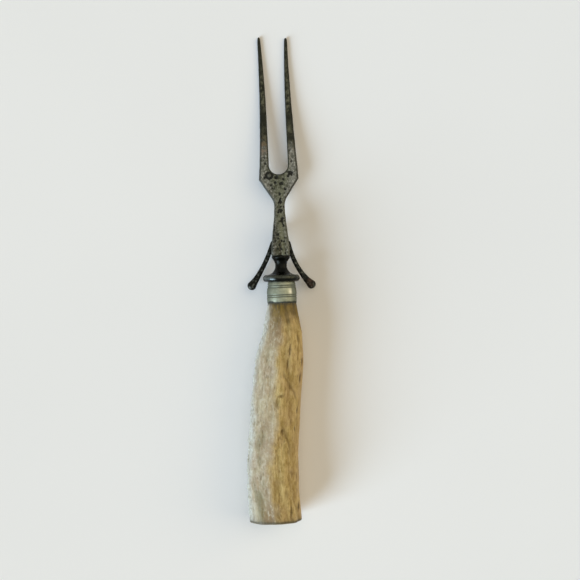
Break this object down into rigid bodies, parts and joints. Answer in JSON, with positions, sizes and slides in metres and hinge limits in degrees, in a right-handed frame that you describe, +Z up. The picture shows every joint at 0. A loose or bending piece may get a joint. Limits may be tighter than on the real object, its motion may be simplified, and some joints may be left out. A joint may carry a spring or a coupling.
{
  "type": "carving fork",
  "caption": "Antique flesh or carving fork with long slender tines, turned bolster, ringed ferrule, stag antler handle and a folding finger guard.",
  "frame": {"origin": "middle of the fork as it lies on a table, on the table's surface", "axes": "+Y along the fork towards the tips of the tines, +Z up from the table through the front face, +X to the right"},
  "size_m": [0.0416, 0.275, 0.0258],
  "materials": {
    "forged_steel": "dark, pitted, unplated steel",
    "guard_steel": "blackened steel",
    "spring_steel": "dull spring steel",
    "white_metal": "dull nickel silver",
    "antler": "natural stag antler",
    "cement": "dark cutler's resin"
  },
  "bodies": {
    "fork": {"fork_forging": "forged_steel", "guard_pin": "guard_steel", "guard_spring": "spring_steel", "spring_rivet": "spring_steel", "ferrule": "white_metal", "handle": "antler", "tang_cement": "cement"},
    "guard": {"guard": "guard_steel"}
  },
  "joints": [
    {"name": "guard_swing", "type": "hinge", "parent": "fork", "child": "guard", "pos_m": [0.00131, 0.0247, 0.00626], "axis": [1, 0, 0], "range_deg": [0, 95]}
  ]
}
